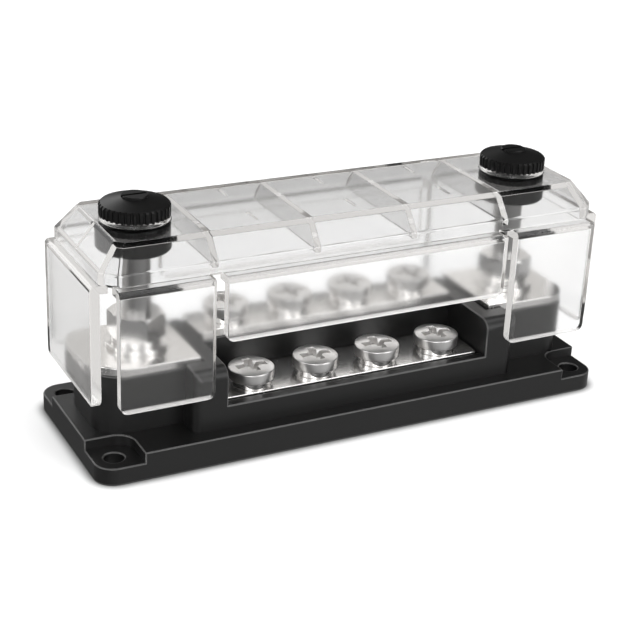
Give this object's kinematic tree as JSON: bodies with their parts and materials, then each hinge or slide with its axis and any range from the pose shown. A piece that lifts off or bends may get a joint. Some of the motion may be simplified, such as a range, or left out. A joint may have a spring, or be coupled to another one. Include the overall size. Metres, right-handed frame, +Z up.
{
  "type": "bus bar",
  "caption": "Bus bar block with studs and stepped rows of terminal screws on a black moulded base, under a clear hip-roofed cover held by knurled knobs.",
  "frame": {"origin": "centre of the base's underside", "axes": "+X along the length, -Y out of the open terminal bay, +Z up"},
  "size_m": [0.13, 0.0436, 0.0577],
  "materials": {
    "moulding": "satin",
    "tin": "tinned, satin",
    "steel": "plated, bright",
    "screw_steel": "plated, bright",
    "brass": "turned",
    "clear_cover": "clear roof, frosted flaps",
    "knob_black": "satin"
  },
  "bodies": {
    "base": {"base": "moulding", "bottom_plate": "moulding", "link_plate": "tin", "lower_bar": "tin", "upper_bar": "tin", "end_bar_left": "tin", "end_bar_right": "tin", "stud_left": "steel", "stud_right": "steel", "flat_washer_left": "steel", "flat_washer_right": "steel", "spring_washer_left": "steel", "spring_washer_right": "steel", "lower_insert_1": "brass", "upper_insert_1": "brass", "lower_washer_1": "screw_steel", "upper_washer_1": "screw_steel", "lower_insert_2": "brass", "upper_insert_2": "brass", "lower_washer_2": "screw_steel", "upper_washer_2": "screw_steel", "lower_insert_3": "brass", "upper_insert_3": "brass", "lower_washer_3": "screw_steel", "upper_washer_3": "screw_steel", "lower_insert_4": "brass", "upper_insert_4": "brass", "lower_washer_4": "screw_steel", "upper_washer_4": "screw_steel"},
    "cover": {"cover": "clear_cover"},
    "knob_left": {"knob_left": "knob_black", "collar_left": "knob_black"},
    "knob_right": {"knob_right": "knob_black", "collar_right": "knob_black"},
    "nut_left": {"hex_nut_left": "steel"},
    "nut_right": {"hex_nut_right": "steel"},
    "lower_screw_1": {"lower_screw_1": "screw_steel"},
    "lower_screw_2": {"lower_screw_2": "screw_steel"},
    "lower_screw_3": {"lower_screw_3": "screw_steel"},
    "lower_screw_4": {"lower_screw_4": "screw_steel"},
    "upper_screw_1": {"upper_screw_1": "screw_steel"},
    "upper_screw_2": {"upper_screw_2": "screw_steel"},
    "upper_screw_3": {"upper_screw_3": "screw_steel"},
    "upper_screw_4": {"upper_screw_4": "screw_steel"}
  },
  "joints": [
    {"name": "cover_lift", "type": "slide", "parent": "base", "child": "cover", "axis": [0, 0, 1], "range_m": [0, 0.045]},
    {"name": "knob_left_turn", "type": "hinge", "parent": "cover", "child": "knob_left", "pos_m": [-0.0487, 0, 0.0546], "axis": [0, 0, 1], "continuous": true},
    {"name": "nut_left_turn", "type": "hinge", "parent": "base", "child": "nut_left", "pos_m": [-0.0487, 0, 0.0293], "axis": [0, 0, 1], "continuous": true},
    {"name": "knob_right_turn", "type": "hinge", "parent": "cover", "child": "knob_right", "pos_m": [0.0487, 0, 0.0546], "axis": [0, 0, 1], "continuous": true},
    {"name": "nut_right_turn", "type": "hinge", "parent": "base", "child": "nut_right", "pos_m": [0.0487, 0, 0.0293], "axis": [0, 0, 1], "continuous": true},
    {"name": "lower_screw_1_turn", "type": "hinge", "parent": "base", "child": "lower_screw_1", "pos_m": [-0.02449, -0.0098, 0.0155], "axis": [0, 0, 1], "continuous": true},
    {"name": "lower_screw_2_turn", "type": "hinge", "parent": "base", "child": "lower_screw_2", "pos_m": [-0.00817, -0.0098, 0.0155], "axis": [0, 0, 1], "continuous": true},
    {"name": "lower_screw_3_turn", "type": "hinge", "parent": "base", "child": "lower_screw_3", "pos_m": [0.00817, -0.0098, 0.0155], "axis": [0, 0, 1], "continuous": true},
    {"name": "lower_screw_4_turn", "type": "hinge", "parent": "base", "child": "lower_screw_4", "pos_m": [0.02449, -0.0098, 0.0155], "axis": [0, 0, 1], "continuous": true},
    {"name": "upper_screw_1_turn", "type": "hinge", "parent": "base", "child": "upper_screw_1", "pos_m": [-0.02449, 0.0058, 0.0255], "axis": [0, 0, 1], "continuous": true},
    {"name": "upper_screw_2_turn", "type": "hinge", "parent": "base", "child": "upper_screw_2", "pos_m": [-0.00817, 0.0058, 0.0255], "axis": [0, 0, 1], "continuous": true},
    {"name": "upper_screw_3_turn", "type": "hinge", "parent": "base", "child": "upper_screw_3", "pos_m": [0.00817, 0.0058, 0.0255], "axis": [0, 0, 1], "continuous": true},
    {"name": "upper_screw_4_turn", "type": "hinge", "parent": "base", "child": "upper_screw_4", "pos_m": [0.02449, 0.0058, 0.0255], "axis": [0, 0, 1], "continuous": true}
  ]
}
